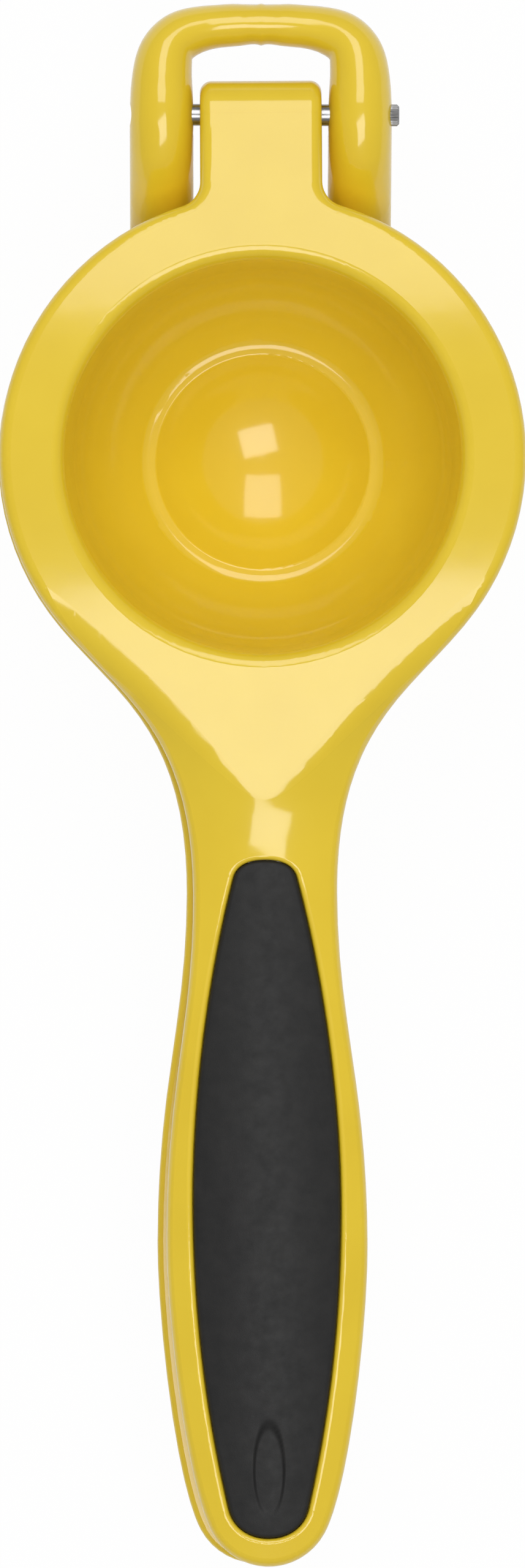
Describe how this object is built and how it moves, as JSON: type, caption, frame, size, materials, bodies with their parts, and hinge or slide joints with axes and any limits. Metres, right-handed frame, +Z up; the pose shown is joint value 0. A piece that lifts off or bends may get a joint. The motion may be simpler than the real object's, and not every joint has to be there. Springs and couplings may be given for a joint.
{
  "type": "citrus squeezer",
  "caption": "Hand-held lever citrus squeezer with a stepped press bowl, a drained cup, a pinned yoke hinge with a hanging loop and soft-inlaid handles.",
  "frame": {"origin": "centre of the cup's flat base, on the cup's axis", "axes": "+X along the hinge pin towards its knurled end, +Y from the handle ends to the hanging loop, +Z up from the cup to the press lever"},
  "size_m": [0.0728, 0.2159, 0.0437],
  "materials": {
    "yellow_enamel": "gloss",
    "black_rubber": "matte",
    "black_plastic": "matte",
    "steel": "knurled at one end"
  },
  "bodies": {
    "lower": {"lower_lever": "yellow_enamel", "hinge_pin": "steel", "lower_grip": "black_rubber", "lower_grip_carrier": "black_plastic"},
    "upper": {"upper_lever": "yellow_enamel", "upper_grip": "black_rubber", "upper_grip_carrier": "black_plastic"}
  },
  "joints": [
    {"name": "lever_hinge", "type": "hinge", "parent": "lower", "child": "upper", "pos_m": [0, 0.04735, 0.03517], "axis": [-1, 0, 0], "range_deg": [0, 130]}
  ]
}
